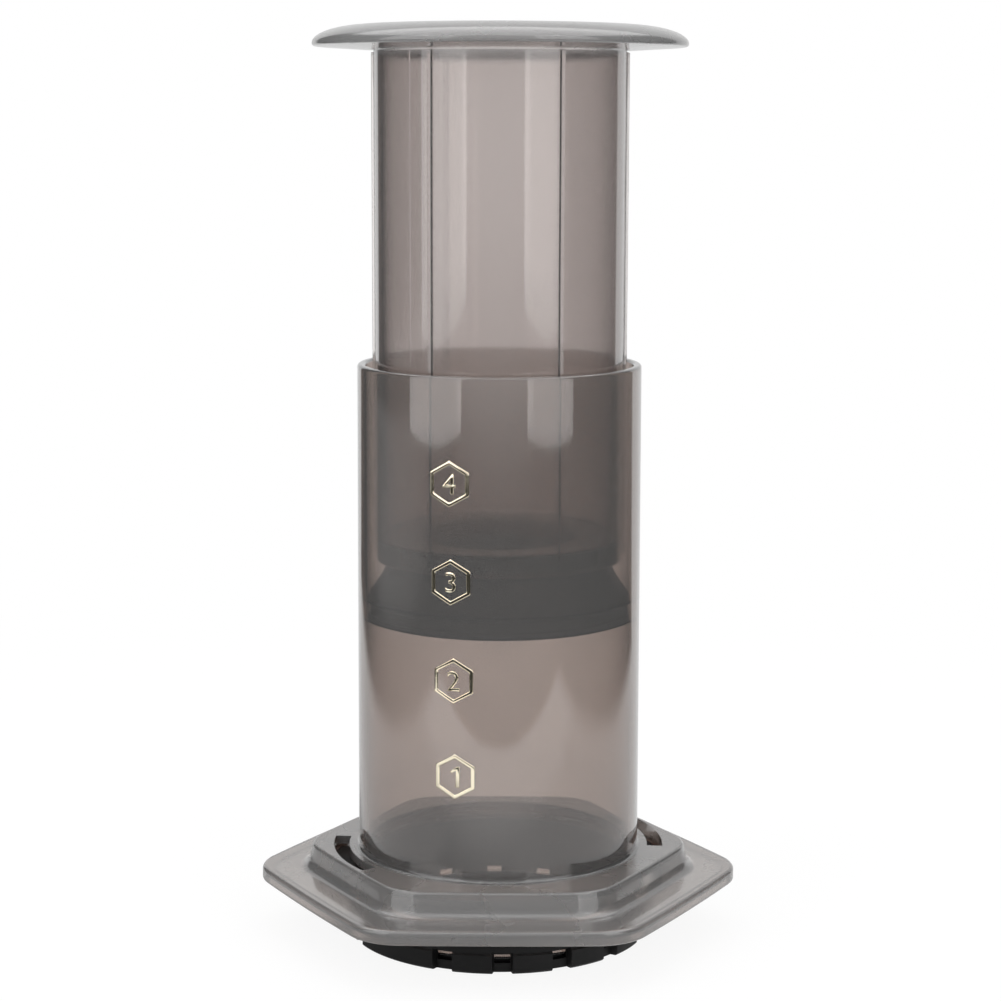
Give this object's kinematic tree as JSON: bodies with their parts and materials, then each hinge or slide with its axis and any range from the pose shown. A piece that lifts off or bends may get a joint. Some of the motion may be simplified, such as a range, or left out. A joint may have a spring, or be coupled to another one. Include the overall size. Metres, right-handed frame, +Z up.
{
  "type": "manual coffee press",
  "caption": "Hand-pressed coffee maker: smoky tube on a six-sided flange, ribbed plunger with a rubber seal, twist-on perforated filter cap.",
  "frame": {"origin": "on the tube's axis, at the level of the filter cap's foot, on which the maker stands", "axes": "+Z up along the tube, +X to the right in the picture and through a corner of the flange, -Y towards the viewer"},
  "size_m": [0.1104, 0.1, 0.2081],
  "materials": {
    "smoky_plastic": "clear smoky moulded plastic, glossy",
    "black_rubber": "smooth black silicone rubber",
    "black_plastic": "satin black moulded plastic",
    "steel_mesh": "fine woven stainless mesh"
  },
  "bodies": {
    "chamber": {"chamber": "smoky_plastic"},
    "seal": {"seal": "black_rubber"},
    "plunger": {"plunger": "smoky_plastic"},
    "filter_cap": {"filter_cap": "black_plastic", "filter_disc": "steel_mesh"}
  },
  "joints": [
    {"name": "press_slide", "type": "slide", "parent": "chamber", "child": "seal", "axis": [0, 0, 1], "range_m": [-0.0695, 0.06]},
    {"name": "plunger_turn", "type": "hinge", "parent": "seal", "child": "plunger", "pos_m": [0, 0, 0.0882], "axis": [0, 0, 1], "continuous": true},
    {"name": "cap_turn", "type": "hinge", "parent": "chamber", "child": "filter_cap", "pos_m": [0, 0, 0], "axis": [0, 0, 1], "range_deg": [-45, 0]}
  ]
}
